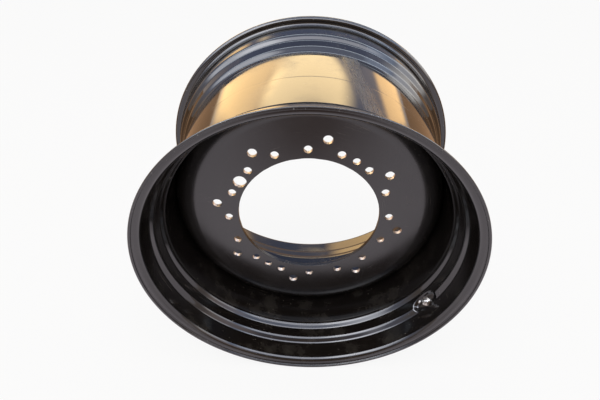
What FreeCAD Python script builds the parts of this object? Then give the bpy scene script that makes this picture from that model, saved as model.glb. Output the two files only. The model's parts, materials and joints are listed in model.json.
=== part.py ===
import FreeCAD, Part
import math
import os
import Sketcher

Vector = FreeCAD.Vector

# Tractor wheel: a rolled drop-centre rim, a pressed disc welded into it and a tyre valve.
# The wheel spins about Y. The origin is the centre of the face that the hub bears on,
# the hub comes from +Y, and the outboard side, with the valve, looks along -Y.
doc = FreeCAD.newDocument("tractor_wheel")
sheet = doc.addObject("Spreadsheet::Sheet", "Sheet")

# Driving dimensions, in millimetres and degrees
SIZES = {
    # rim band, given by its tyre side from the flange to the well
    "rim_width": 635.0,
    "bead_seat_dia": 1066.8,
    "flange_height": 25.4,
    "flange_lip": 16.0,
    "band_wall": 9.0,
    "curl_round": 12.7,
    "heel_round": 12.6,
    "seat_run": 68.1,
    "seat_drop": 9.4,
    "seat_bend": 24.0,
    "riser_run": 15.6,
    "riser_drop": 14.1,
    "riser_bend": 14.0,
    "ledge_run": 35.8,
    "ledge_drop": 7.73,
    "ledge_bend": 24.0,
    "slope_run": 16.9,
    "slope_drop": 13.17,
    "well_bend": 22.0,
    "lip_round": 3.0,
    "rim_inset": 80.0,
    # pressed disc
    "disc_wall": 14.0,
    "hub_flat_dia": 788.0,
    "skirt_length": 34.0,
    "skirt_gap": 0.2,
    "hub_pcd": 563.0,
    "hub_holes": 16,
    "hub_hole_dia": 28.0,
    "hub_hole_angle": 90.0,
    "bore_land": 34.5,
    "spare_holes": 2,
    "spare_hole_dia": 26.0,
    "spare_hole_angle": 56.25,
    "dual_pcd": 645.0,
    "dual_holes": 8,
    "dual_hole_dia": 32.0,
    "dual_hole_angle": 78.75,
    "access_holes": 1,
    "access_hole_inset": 5.5,
    "access_hole_dia": 46.0,
    "access_hole_angle": 146.25,
    "weld_leg": 9.0,
    # pressed dimple that the valve stands in
    "valve_angle": 33.5,
    "dimple_tilt": 27.0,
    "dimple_depth": 12.0,
    "dimple_half_length": 46.0,
    "dimple_half_width": 20.0,
    "dimple_draft": 35.0,
    # tyre valve, along its own axis
    "valve_hole_dia": 15.9,
    "valve_shank_dia": 15.3,
    "valve_base_dia": 27.0,
    "valve_base_height": 4.0,
    "valve_seal_dia": 31.0,
    "valve_seal_height": 5.0,
    "valve_washer_dia": 33.0,
    "valve_washer_height": 2.5,
    "valve_nut_flats": 26.0,
    "valve_nut_height": 9.0,
    "valve_thread_spare": 3.0,
    "valve_neck_dia": 11.0,
    "valve_neck_height": 14.0,
    "valve_mouth_dia": 7.7,
    "valve_mouth_height": 13.0,
    "valve_core_dia": 4.6,
    "valve_core_height": 20.0,
    "valve_core_recess": 1.5,
    "valve_cap_dia": 12.0,
    "valve_cap_top": 3.0,
    "thread_gap": 0.15,
}

for row, (name, number) in enumerate(SIZES.items(), start=1):
    sheet.set(f"A{row}", name)
    sheet.set(f"B{row}", str(number))
    sheet.setAlias(f"B{row}", name)
doc.recompute()


def size(expression):
    """The present value of an expression of sheet names."""
    return float(sheet.evalExpression(expression))


def bind(target, **expressions):
    """Tie properties of an object to expressions of sheet names, written with a dot as two underlines."""
    for key, expression in expressions.items():
        target.setExpression(key.replace("__", "."), expression)


def named_constraint(sketch, name, constraint, expression):
    """Add a dimension to a sketch and tie it to the sheet."""
    index = sketch.addConstraint(constraint)
    sketch.renameConstraint(index, name)
    sketch.setExpression("Constraints." + name, expression)


# Expressions that more than one piece uses
FLANGE_RADIUS = "Sheet.bead_seat_dia / 2 + Sheet.flange_height"
SEAT_RADIUS = "Sheet.bead_seat_dia / 2"
HALF_WIDTH = "Sheet.rim_width / 2"
SEAT_END = HALF_WIDTH + " - Sheet.seat_run"
SEAT_END_RADIUS = SEAT_RADIUS + " - Sheet.seat_drop"
RISER_END = SEAT_END + " - Sheet.riser_run"
RISER_END_RADIUS = SEAT_END_RADIUS + " - Sheet.riser_drop"
LEDGE_END = RISER_END + " - Sheet.ledge_run"
LEDGE_END_RADIUS = RISER_END_RADIUS + " - Sheet.ledge_drop"
WELL_END = LEDGE_END + " - Sheet.slope_run"
WELL_RADIUS = LEDGE_END_RADIUS + " - Sheet.slope_drop"
WELL_INSIDE = WELL_RADIUS + " - Sheet.band_wall"
SKIRT_RADIUS = WELL_INSIDE + " - Sheet.skirt_gap"
SHOULDER_RADIUS = SKIRT_RADIUS + " - Sheet.hub_flat_dia / 2"
SKIRT_EDGE = SHOULDER_RADIUS + " - Sheet.disc_wall + Sheet.skirt_length"
HUB_CIRCLE = "Sheet.hub_pcd / 2"
BORE_RADIUS = HUB_CIRCLE + " - Sheet.bore_land"
ACCESS_CIRCLE = HUB_CIRCLE + " - Sheet.access_hole_inset"
DUAL_CIRCLE = "Sheet.dual_pcd / 2"


def turn_to_wheel_plane():
    """Rotation that lays a sketch's x along the wheel's axis and its y along a radius."""
    return FreeCAD.Rotation(Vector(1, 1, 1), 120)


def rolled_line(sketch, points, rounds):
    """Draw straight runs joined by tangent arcs, with a point at each corner that was rounded.

    Returns the index of each corner's point, of each arc and of each run.
    """
    corners = [Vector(x, y, 0) for x, y in points]
    runs, arcs, marks = [], [], []
    start = corners[0]
    bends = []
    for before, corner, after, radius in zip(corners, corners[1:], corners[2:], rounds):
        into = (corner - before).normalize()
        out = (after - corner).normalize()
        turn = into.x * out.y - into.y * out.x
        reach = radius * math.tan(into.getAngle(out) / 2)
        side = math.copysign(1, turn)
        first = corner - into * reach
        last = corner + out * reach
        centre = first + Vector(-into.y, into.x, 0) * radius * side
        bends.append((first, last, centre, radius, side))
    for first, last, centre, radius, side in bends:
        runs.append(sketch.addGeometry(Part.LineSegment(start, first)))
        ends = (first, last) if side > 0 else (last, first)
        angles = [math.atan2(end.y - centre.y, end.x - centre.x) for end in ends]
        circle = Part.Circle(centre, Vector(0, 0, 1), radius)
        arcs.append(sketch.addGeometry(Part.ArcOfCircle(circle, *angles)))
        start = last
    runs.append(sketch.addGeometry(Part.LineSegment(start, corners[-1])))
    for number, (arc, bend) in enumerate(zip(arcs, bends)):
        entry, leave = (1, 2) if bend[4] > 0 else (2, 1)
        sketch.addConstraint(Sketcher.Constraint("Tangent", runs[number], 2, arc, entry))
        sketch.addConstraint(Sketcher.Constraint("Tangent", arc, leave, runs[number + 1], 1))
        mark = sketch.addGeometry(Part.Point(corners[number + 1]), True)
        sketch.addConstraint(Sketcher.Constraint("PointOnObject", mark, 1, runs[number]))
        sketch.addConstraint(Sketcher.Constraint("PointOnObject", mark, 1, runs[number + 1]))
        marks.append(mark)
    return marks, arcs, runs


def draw_rim_line():
    """The tyre side of the rim's section, from the front lip to the back lip."""
    sketch = doc.addObject("Sketcher::SketchObject", "rim_line")
    sketch.Placement = FreeCAD.Placement(Vector(0, 0, 0), turn_to_wheel_plane())
    back_half = [
        ("well", WELL_END, WELL_RADIUS, "Sheet.well_bend"),
        ("ledge", LEDGE_END, LEDGE_END_RADIUS, "Sheet.ledge_bend"),
        ("riser", RISER_END, RISER_END_RADIUS, "Sheet.riser_bend"),
        ("seat", SEAT_END, SEAT_END_RADIUS, "Sheet.seat_bend"),
        ("heel", HALF_WIDTH, SEAT_RADIUS, "Sheet.heel_round"),
        ("curl", HALF_WIDTH, FLANGE_RADIUS, "Sheet.curl_round"),
    ]
    tip = HALF_WIDTH + " + Sheet.flange_lip"
    back = [(size(along), size(radius)) for _, along, radius, _ in back_half]
    back.append((size(tip), size(FLANGE_RADIUS)))
    rounds = [size(bend) for _, _, _, bend in back_half]
    front = [(-along, radius) for along, radius in reversed(back)]
    marks, arcs, runs = rolled_line(sketch, front + back, list(reversed(rounds)) + rounds)
    count = len(back_half)
    for number, (name, along, radius, bend) in enumerate(back_half):
        near, far = count - 1 - number, count + number
        across = Sketcher.Constraint("DistanceX", marks[far], 1, size(along))
        upward = Sketcher.Constraint("DistanceY", marks[far], 1, size(radius))
        named_constraint(sketch, name + "_along", across, along)
        named_constraint(sketch, name + "_radius", upward, radius)
        named_constraint(sketch, name + "_bend", Sketcher.Constraint("Radius", arcs[far], size(bend)), bend)
        sketch.addConstraint(Sketcher.Constraint("Symmetric", marks[near], 1, marks[far], 1, -2))
        sketch.addConstraint(Sketcher.Constraint("Equal", arcs[near], arcs[far]))
    sketch.addConstraint(Sketcher.Constraint("Horizontal", runs[-1]))
    named_constraint(sketch, "tip_along", Sketcher.Constraint("DistanceX", runs[-1], 2, size(tip)), tip)
    sketch.addConstraint(Sketcher.Constraint("Symmetric", runs[0], 1, runs[-1], 2, -2))
    return sketch


def valve_frame():
    """Rotation of the valve: z out of the dimple towards the wheel's inside, x along the rim."""
    around = math.radians(-size("Sheet.valve_angle"))
    tilt = math.radians(size("Sheet.dimple_tilt"))
    radial = Vector(math.cos(around), 0, math.sin(around))
    outward = radial * -math.cos(tilt) + Vector(0, -math.sin(tilt), 0)
    along = Vector(-math.sin(around), 0, math.cos(around))
    return FreeCAD.Rotation(along, Vector(), outward, "ZXY")


# The middle of the dimple's floor, on the side that the valve's washer bears on
FLOOR_SINK = "(Sheet.dimple_depth - Sheet.band_wall)"
FLOOR_RADIUS = f"({RISER_END_RADIUS} + {FLOOR_SINK} * cos(Sheet.dimple_tilt))"
FLOOR_ALONG = f"({FLOOR_SINK} * sin(Sheet.dimple_tilt) - ({RISER_END}))"


def set_on_valve_axis(piece, rim_centre, lift="0"):
    """Place a piece that was built along z on the dimple's floor, or at a lift above it."""
    radius = f"({FLOOR_RADIUS} - ({lift}) * cos(Sheet.dimple_tilt))"
    piece.Placement = FreeCAD.Placement(Vector(0, 0, 0), valve_frame())
    bind(
        piece,
        Placement__Base__x=f"{radius} * cos(Sheet.valve_angle)",
        Placement__Base__y=f"{rim_centre} + {FLOOR_ALONG} - ({lift}) * sin(Sheet.dimple_tilt)",
        Placement__Base__z=f"-{radius} * sin(Sheet.valve_angle)",
    )


def oval_block(name, grow, bottom, top):
    """A drafted oval block in the valve's frame, wider towards the wheel's inside."""
    oval = doc.addObject("Part::Ellipse", name + "_oval")
    bind(
        oval,
        MajorRadius=f"Sheet.dimple_half_length + {grow}",
        MinorRadius=f"Sheet.dimple_half_width + {grow}",
        Placement__Base__z=bottom,
    )
    block = doc.addObject("Part::Extrusion", name)
    block.Base = oval
    block.DirMode = "Custom"
    block.Dir = Vector(0, 0, 1)
    block.Solid = True
    bind(block, LengthFwd=f"{top} - ({bottom})", TaperAngle="Sheet.dimple_draft")
    set_on_valve_axis(block, "0")
    return block


def cut(name, base, tool):
    result = doc.addObject("Part::Cut", name)
    result.Base = base
    result.Tool = tool
    return result


def rod(name, dia, bottom, top):
    """A round bar along z between two heights."""
    bar = doc.addObject("Part::Cylinder", name)
    bind(bar, Radius=f"({dia}) / 2", Height=f"{top} - ({bottom})", Placement__Base__z=bottom)
    return bar


def collar(name, outer_dia, inner_dia, bottom, top):
    """A round bar with a round hole right through it."""
    outside = rod(name + "_outside", outer_dia, bottom, top)
    inside = rod(name + "_inside", inner_dia, bottom, top)
    return cut(name, outside, inside)


def make_inner_room():
    """The room inside the middle of the front half's wall, that the dimple's cup must not fill."""
    sketch = doc.addObject("Sketcher::SketchObject", "room_section")
    sketch.Placement = FreeCAD.Placement(Vector(0, 0, 0), turn_to_wheel_plane())
    # A little past the middle of the wall, so that the cup ends inside the band
    depth = " - Sheet.band_wall * 0.6"
    # Far enough in to take the whole top of the cup away
    inside = WELL_INSIDE + " - Sheet.band_wall * 3"
    corners = [
        (HALF_WIDTH, SEAT_RADIUS + depth),
        (SEAT_END, SEAT_END_RADIUS + depth),
        (RISER_END, RISER_END_RADIUS + depth),
        (LEDGE_END, LEDGE_END_RADIUS + depth),
        (WELL_END, WELL_RADIUS + depth),
        (WELL_END, inside),
        (HALF_WIDTH, inside),
    ]
    points = [Vector(-size(along), size(radius), 0) for along, radius in corners]
    sides = [
        sketch.addGeometry(Part.LineSegment(start, end))
        for start, end in zip(points, points[1:] + points[:1])
    ]
    for number, (along, radius) in enumerate(corners):
        side, point = sides[number], points[number]
        sketch.addConstraint(Sketcher.Constraint("Coincident", sides[number - 1], 2, side, 1))
        across = Sketcher.Constraint("DistanceX", side, 1, point.x)
        upward = Sketcher.Constraint("DistanceY", side, 1, point.y)
        named_constraint(sketch, f"along_{number}", across, f"-({along})")
        named_constraint(sketch, f"radius_{number}", upward, radius)
    room = doc.addObject("Part::Revolution", "inner_room")
    room.Source = sketch
    room.Axis = Vector(0, 1, 0)
    room.Angle = 360
    room.Solid = True
    return room


def make_rim():
    section = doc.addObject("Part::Offset2D", "rim_section")
    section.Source = draw_rim_line()
    section.Mode = "Skin"
    section.Fill = True
    bind(section, Value="Sheet.band_wall")
    ring = doc.addObject("Part::Revolution", "rim_ring")
    ring.Source = section
    ring.Axis = Vector(0, 1, 0)
    ring.Angle = 360
    ring.Solid = True
    doc.recompute()
    # The cut edges of the lips are rounded over
    tip = size(HALF_WIDTH + " + Sheet.flange_lip")
    round_size = size("Sheet.lip_round")
    lips = []
    for number, edge in enumerate(ring.Shape.Edges, start=1):
        box = edge.BoundBox
        if box.YLength < 0.001 and abs(abs(box.Center.y) - tip) < 0.001:
            lips.append((number, round_size, round_size))
    rounded = doc.addObject("Part::Fillet", "rim_rounded")
    rounded.Base = ring
    rounded.Edges = lips
    # The dimple keeps the band's wall: a cup is added on the tyre side and hollowed from within
    draft = "Sheet.dimple_draft"
    grow = f"Sheet.band_wall * (1 - sin({draft})) / cos({draft})"
    block = oval_block("dimple_block", grow, "-Sheet.band_wall", "(Sheet.dimple_depth + Sheet.band_wall)")
    bulged = doc.addObject("Part::Fuse", "rim_bulged")
    bulged.Base = rounded
    bulged.Tool = cut("dimple_cup", block, make_inner_room())
    hollow = oval_block("dimple_hollow", "0", "0", "Sheet.dimple_depth * 2")
    dimpled = cut("rim_dimpled", bulged, hollow)
    drill_depth = "Sheet.band_wall * 3"
    drill = rod("valve_hole", "Sheet.valve_hole_dia", "0", drill_depth)
    set_on_valve_axis(drill, "0", "-Sheet.band_wall * 2")
    rim = cut("rim", dimpled, drill)
    bind(rim, Placement__Base__y="Sheet.rim_inset")
    return rim


def body_sketch(body, name, role):
    """A sketch on one of a body's own origin planes."""
    sketch = body.newObject("Sketcher::SketchObject", name)
    plane = next(item for item in body.Origin.OriginFeatures if item.Role == role)
    sketch.AttachmentSupport = [(plane, "")]
    sketch.MapMode = "FlatFace"
    return sketch


def revolve(body, sketch, name):
    """Turn a section that was drawn with x along the wheel's axis."""
    turned = body.newObject("PartDesign::Revolution", name)
    turned.Profile = sketch
    turned.ReferenceAxis = (sketch, ["H_Axis"])
    turned.Angle = 360
    body.Tip = turned
    doc.recompute()
    return turned


def drill_circle(body, name, pitch):
    """Drill a kind of hole on a circle of that radius, the first at its angle from +X towards +Z."""
    dia = f"Sheet.{name}_dia"
    angle = f"Sheet.{name}_angle"
    count = f"Sheet.{name}s"
    sketch = body_sketch(body, name + "_circle", "XZ_Plane")
    radius = size(pitch)
    around = math.radians(size(angle))
    centre = Vector(radius * math.cos(around), radius * math.sin(around), 0)
    spoke = sketch.addGeometry(Part.LineSegment(Vector(0, 0, 0), centre), True)
    circle = sketch.addGeometry(Part.Circle(centre, Vector(0, 0, 1), size(dia) / 2))
    sketch.addConstraint(Sketcher.Constraint("Coincident", spoke, 1, -1, 1))
    sketch.addConstraint(Sketcher.Constraint("Coincident", circle, 3, spoke, 2))
    named_constraint(sketch, "pitch", Sketcher.Constraint("Distance", spoke, radius), pitch)
    named_constraint(sketch, "around", Sketcher.Constraint("Angle", spoke, around), angle)
    named_constraint(sketch, "dia", Sketcher.Constraint("Diameter", circle, size(dia)), dia)
    pocket = body.newObject("PartDesign::Pocket", name)
    pocket.Profile = sketch
    pocket.Type = "ThroughAll"
    pocket.SideType = "Symmetric"
    body.Tip = pocket
    doc.recompute()
    if size(count) < 2:
        return
    pattern = body.newObject("PartDesign::PolarPattern", name + "_pattern")
    pattern.Originals = [pocket]
    pattern.Axis = (sketch, ["N_Axis"])
    pattern.Angle = 360
    bind(pattern, Occurrences=count)
    body.Tip = pattern
    doc.recompute()


def draw_disc_section(body):
    """Flat hub face, quarter-round shoulder and straight skirt, all of one wall."""
    sketch = body_sketch(body, "disc_section", "YZ_Plane")
    wall = size("Sheet.disc_wall")
    bore = size(BORE_RADIUS)
    flat = size("Sheet.hub_flat_dia / 2")
    skirt = size(SKIRT_RADIUS)
    edge = size(SKIRT_EDGE)
    bend = size(SHOULDER_RADIUS)
    centre = Vector(bend - wall, flat, 0)

    def line(x1, y1, x2, y2):
        return sketch.addGeometry(Part.LineSegment(Vector(x1, y1, 0), Vector(x2, y2, 0)))

    def quarter(radius):
        circle = Part.Circle(centre, Vector(0, 0, 1), radius)
        return sketch.addGeometry(Part.ArcOfCircle(circle, math.pi / 2, math.pi))

    front = line(-wall, bore, -wall, flat)
    shoulder = quarter(bend)
    outside = line(centre.x, skirt, edge, skirt)
    rim_edge = line(edge, skirt, edge, skirt - wall)
    inside = line(edge, skirt - wall, centre.x, skirt - wall)
    hollow = quarter(bend - wall)
    back = line(0, flat, 0, bore)
    bore_wall = line(0, bore, -wall, bore)
    joins = [
        ("Tangent", front, 2, shoulder, 2),
        ("Tangent", shoulder, 1, outside, 1),
        ("Coincident", outside, 2, rim_edge, 1),
        ("Coincident", rim_edge, 2, inside, 1),
        ("Tangent", inside, 2, hollow, 1),
        ("Tangent", hollow, 2, back, 1),
        ("Coincident", back, 2, bore_wall, 1),
        ("Coincident", bore_wall, 2, front, 1),
        ("Coincident", shoulder, 3, hollow, 3),
        ("PointOnObject", back, 2, -2),
    ]
    joins += [("Vertical", item) for item in (front, rim_edge, back)]
    joins += [("Horizontal", item) for item in (outside, inside, bore_wall)]
    for join in joins:
        sketch.addConstraint(Sketcher.Constraint(*join))
    dimension = Sketcher.Constraint
    named_constraint(sketch, "wall", dimension("DistanceX", front, 1, back, 2, wall), "Sheet.disc_wall")
    named_constraint(sketch, "bore", dimension("DistanceY", back, 2, bore), BORE_RADIUS)
    named_constraint(sketch, "flat", dimension("DistanceY", shoulder, 3, flat), "Sheet.hub_flat_dia / 2")
    named_constraint(sketch, "skirt", dimension("DistanceY", outside, 1, skirt), SKIRT_RADIUS)
    named_constraint(sketch, "edge", dimension("DistanceX", outside, 2, edge), SKIRT_EDGE)
    return sketch


def make_disc():
    body = doc.addObject("PartDesign::Body", "wheel_disc")
    revolve(body, draw_disc_section(body), "disc_pan")
    drill_circle(body, "hub_hole", HUB_CIRCLE)
    drill_circle(body, "spare_hole", HUB_CIRCLE)
    drill_circle(body, "dual_hole", DUAL_CIRCLE)
    drill_circle(body, "access_hole", ACCESS_CIRCLE)
    return body


def make_weld():
    """A quarter-round bead in the corner between the skirt's edge and the rim's well."""
    body = doc.addObject("PartDesign::Body", "disc_weld")
    sketch = body_sketch(body, "weld_section", "YZ_Plane")
    edge = size(SKIRT_EDGE)
    root = size(WELL_INSIDE)
    leg = size("Sheet.weld_leg")
    corner = Vector(edge, root, 0)
    on_rim = sketch.addGeometry(Part.LineSegment(corner, Vector(edge + leg, root, 0)))
    circle = Part.Circle(corner, Vector(0, 0, 1), leg)
    face = sketch.addGeometry(Part.ArcOfCircle(circle, -math.pi / 2, 0))
    on_disc = sketch.addGeometry(Part.LineSegment(Vector(edge, root - leg, 0), corner))
    joins = [
        ("Coincident", on_rim, 2, face, 2),
        ("Coincident", face, 1, on_disc, 1),
        ("Coincident", on_disc, 2, on_rim, 1),
        ("Coincident", face, 3, on_rim, 1),
        ("Horizontal", on_rim),
        ("Vertical", on_disc),
    ]
    for join in joins:
        sketch.addConstraint(Sketcher.Constraint(*join))
    dimension = Sketcher.Constraint
    named_constraint(sketch, "edge", dimension("DistanceX", on_rim, 1, edge), SKIRT_EDGE)
    named_constraint(sketch, "root", dimension("DistanceY", on_rim, 1, root), WELL_INSIDE)
    named_constraint(sketch, "leg", dimension("Radius", face, leg), "Sheet.weld_leg")
    revolve(body, sketch, "weld_bead")
    return body


# Heights along the valve's axis, from the dimple's floor
SEAL_TOP = "-Sheet.band_wall"
BASE_TOP = SEAL_TOP + " - Sheet.valve_seal_height"
BASE_BOTTOM = BASE_TOP + " - Sheet.valve_base_height"
WASHER_TOP = "Sheet.valve_washer_height"
NUT_TOP = WASHER_TOP + " + Sheet.valve_nut_height"
SHANK_TOP = NUT_TOP + " + Sheet.valve_thread_spare"
NECK_TOP = SHANK_TOP + " + Sheet.valve_neck_height"
MOUTH_TOP = NECK_TOP + " + Sheet.valve_mouth_height"
CORE_TOP = MOUTH_TOP + " - Sheet.valve_core_recess"
CORE_BOTTOM = CORE_TOP + " - Sheet.valve_core_height"
SHANK_BORE = "Sheet.valve_shank_dia + 2 * Sheet.thread_gap"
MOUTH_BORE = "Sheet.valve_mouth_dia + 2 * Sheet.thread_gap"
CORE_BORE = "Sheet.valve_core_dia + 2 * Sheet.thread_gap"


def make_valve_stem():
    turned = doc.addObject("Part::MultiFuse", "stem_turned")
    turned.Shapes = [
        rod("stem_base", "Sheet.valve_base_dia", BASE_BOTTOM, BASE_TOP),
        rod("stem_shank", "Sheet.valve_shank_dia", BASE_TOP, SHANK_TOP),
        rod("stem_neck", "Sheet.valve_neck_dia", SHANK_TOP, NECK_TOP),
        rod("stem_mouth", "Sheet.valve_mouth_dia", NECK_TOP, MOUTH_TOP),
    ]
    return cut("valve_stem", turned, rod("stem_bore", CORE_BORE, CORE_BOTTOM, MOUTH_TOP))


def make_valve_seal():
    return collar("valve_seal", "Sheet.valve_seal_dia", SHANK_BORE, BASE_TOP, SEAL_TOP)


def make_valve_washer():
    return collar("valve_washer", "Sheet.valve_washer_dia", "Sheet.valve_hole_dia", "0", WASHER_TOP)


def make_valve_nut():
    hexagon = doc.addObject("Part::Prism", "nut_hexagon")
    hexagon.Polygon = 6
    bind(
        hexagon,
        Circumradius="Sheet.valve_nut_flats / 2 / cos(30)",
        Height="Sheet.valve_nut_height",
        Placement__Base__z=WASHER_TOP,
    )
    return cut("valve_nut", hexagon, rod("nut_thread", SHANK_BORE, WASHER_TOP, NUT_TOP))


def make_valve_core():
    core = doc.addObject("Part::Cylinder", "valve_core")
    bind(core, Radius="Sheet.valve_core_dia / 2", Height="Sheet.valve_core_height")
    return core


def make_valve_cap():
    top = MOUTH_TOP + " + Sheet.valve_cap_top"
    outside = rod("cap_outside", "Sheet.valve_cap_dia", NECK_TOP, top)
    inside = rod("cap_thread", MOUTH_BORE, NECK_TOP, MOUTH_TOP + " + Sheet.thread_gap")
    return cut("valve_cap", outside, inside)


def make_valve():
    makers = [make_valve_stem, make_valve_seal, make_valve_washer, make_valve_nut, make_valve_cap]
    pieces = [maker() for maker in makers]
    for piece in pieces:
        set_on_valve_axis(piece, "Sheet.rim_inset")
    core = make_valve_core()
    set_on_valve_axis(core, "Sheet.rim_inset", CORE_BOTTOM)
    return pieces + [core]


pieces = [make_rim(), make_disc(), make_weld()] + make_valve()
doc.recompute()

for item in doc.Objects:
    if "Invalid" in item.State or "Error" in item.State:
        raise RuntimeError(f"{item.Label} did not build: {item.State}")
for piece in pieces:
    if piece.Shape.isNull() or not piece.Shape.isValid():
        raise RuntimeError(f"{piece.Label} has no valid shape")

os.makedirs("parts", exist_ok=True)
for piece in pieces:
    piece.Shape.exportStep(f"parts/{piece.Label}.step")
    box = piece.Shape.BoundBox
    print(f"{piece.Label}: {len(piece.Shape.Solids)} solid, {piece.Shape.Volume / 1000:.1f} cm3, "
          f"{box.XLength:.1f} x {box.YLength:.1f} x {box.ZLength:.1f} mm")
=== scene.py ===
import json
import math

import bpy
import numpy as np
from bpy.props import FloatProperty, FloatVectorProperty, IntProperty, PointerProperty
from bpy.types import Operator, Panel, PropertyGroup
from mathutils import Matrix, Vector
from mathutils.geometry import delaunay_2d_cdt


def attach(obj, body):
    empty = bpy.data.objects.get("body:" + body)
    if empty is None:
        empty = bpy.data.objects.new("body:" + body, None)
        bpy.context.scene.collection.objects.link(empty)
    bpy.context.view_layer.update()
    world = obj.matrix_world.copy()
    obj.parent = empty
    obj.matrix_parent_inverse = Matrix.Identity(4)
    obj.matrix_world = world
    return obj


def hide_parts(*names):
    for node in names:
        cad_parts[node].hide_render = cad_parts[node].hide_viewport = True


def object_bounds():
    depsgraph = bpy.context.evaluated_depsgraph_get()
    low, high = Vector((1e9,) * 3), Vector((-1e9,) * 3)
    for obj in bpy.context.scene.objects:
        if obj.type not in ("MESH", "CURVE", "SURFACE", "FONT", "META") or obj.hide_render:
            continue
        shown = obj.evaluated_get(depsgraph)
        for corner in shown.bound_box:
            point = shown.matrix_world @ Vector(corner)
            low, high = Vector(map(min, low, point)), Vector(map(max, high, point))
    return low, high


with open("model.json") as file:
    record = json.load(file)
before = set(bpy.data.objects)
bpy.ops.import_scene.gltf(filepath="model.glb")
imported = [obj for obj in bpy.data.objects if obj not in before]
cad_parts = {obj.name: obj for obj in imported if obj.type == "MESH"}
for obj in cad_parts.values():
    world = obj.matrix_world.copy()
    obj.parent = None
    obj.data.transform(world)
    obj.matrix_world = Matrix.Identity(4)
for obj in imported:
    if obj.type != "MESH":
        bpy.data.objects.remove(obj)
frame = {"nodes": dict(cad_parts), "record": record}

bl_info = {
    "name": "Tractor wheel",
    "version": (1, 0, 0),
    "blender": (4, 5, 0),
    "location": "3D View > Sidebar > Wheel",
    "description": "Builds a painted steel tractor wheel, piece by piece, around its packed solids",
    "category": "Add Mesh",
}

CAD_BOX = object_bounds()
MOUNTS = {mount["name"]: mount["dims"] for mount in frame["record"]["mounts"]}
BODY = "root"
MM = 0.001
FULL_TURN = 2 * math.pi


# Properties


def length(label, millimetres, description):
    return FloatProperty(
        name=label, description=description, default=millimetres * MM, min=0.0, unit="LENGTH", precision=4
    )


def turn(label, degrees, description):
    return FloatProperty(name=label, description=description, default=math.radians(degrees), subtype="ANGLE")


def whole(label, default, description):
    return IntProperty(name=label, description=description, default=default, min=1)


def share(label, default, description):
    return FloatProperty(name=label, description=description, default=default, min=0.0, max=1.0, subtype="FACTOR")


def colour(label, default, description):
    return FloatVectorProperty(
        name=label, description=description, default=default, size=3, min=0.0, max=1.0, subtype="COLOR"
    )


def level(label, default, description):
    return FloatProperty(name=label, description=description, default=default, min=0.0)


class RimSizes(PropertyGroup):
    """The rolled section of the rim band, from the flange to the well, and its pressed dimple"""

    width: length("Width", 635.0, "Between the flanges")
    seat_dia: length("Bead seat", 1066.8, "Diameter of the bead seat at the flange")
    flange_height: length("Flange height", 25.4, "From the bead seat to the lip")
    flange_lip: length("Lip", 16.0, "How far the lip reaches outwards")
    wall: length("Wall", 9.0, "Thickness of the band")
    curl_round: length("Curl round", 12.7, "Bend from the flange to the lip")
    heel_round: length("Heel round", 12.6, "Bend from the bead seat to the flange")
    seat_run: length("Seat run", 68.1, "Bead seat, along the axle")
    seat_drop: length("Seat drop", 9.4, "Bead seat, towards the axle")
    seat_bend: length("Seat bend", 24.0, "Bend from the bead seat to the riser")
    riser_run: length("Riser run", 15.6, "Riser, along the axle")
    riser_drop: length("Riser drop", 14.1, "Riser, towards the axle")
    riser_bend: length("Riser bend", 14.0, "Bend from the riser to the ledge")
    ledge_run: length("Ledge run", 35.8, "Ledge, along the axle")
    ledge_drop: length("Ledge drop", 7.73, "Ledge, towards the axle")
    ledge_bend: length("Ledge bend", 24.0, "Bend from the ledge to the slope")
    slope_run: length("Slope run", 16.9, "Slope into the well, along the axle")
    slope_drop: length("Slope drop", 13.17, "Slope into the well, towards the axle")
    well_bend: length("Well bend", 22.0, "Bend from the slope to the well")
    lip_round: length("Lip round", 3.0, "Round on the cut edges of the lips")
    inset: length("Inset", 80.0, "Middle of the rim behind the hub face")
    dimple_tilt: turn("Dimple tilt", 27.0, "How far the dimple's floor leans to the front")
    dimple_depth: length("Dimple depth", 12.0, "Depth of the valve's dimple")
    dimple_half_length: length("Dimple half length", 46.0, "Half of the floor, along the rim")
    dimple_half_width: length("Dimple half width", 20.0, "Half of the floor, across the rim")
    dimple_draft: turn("Dimple draft", 35.0, "Slope of the dimple's wall")
    dimple_round: length("Dimple round", 5.0, "Round of the dimple's edges")
    shrink_line: length("Shrink line", 0.125, "Depth of the line that the disc's weld draws into the well")


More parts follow.
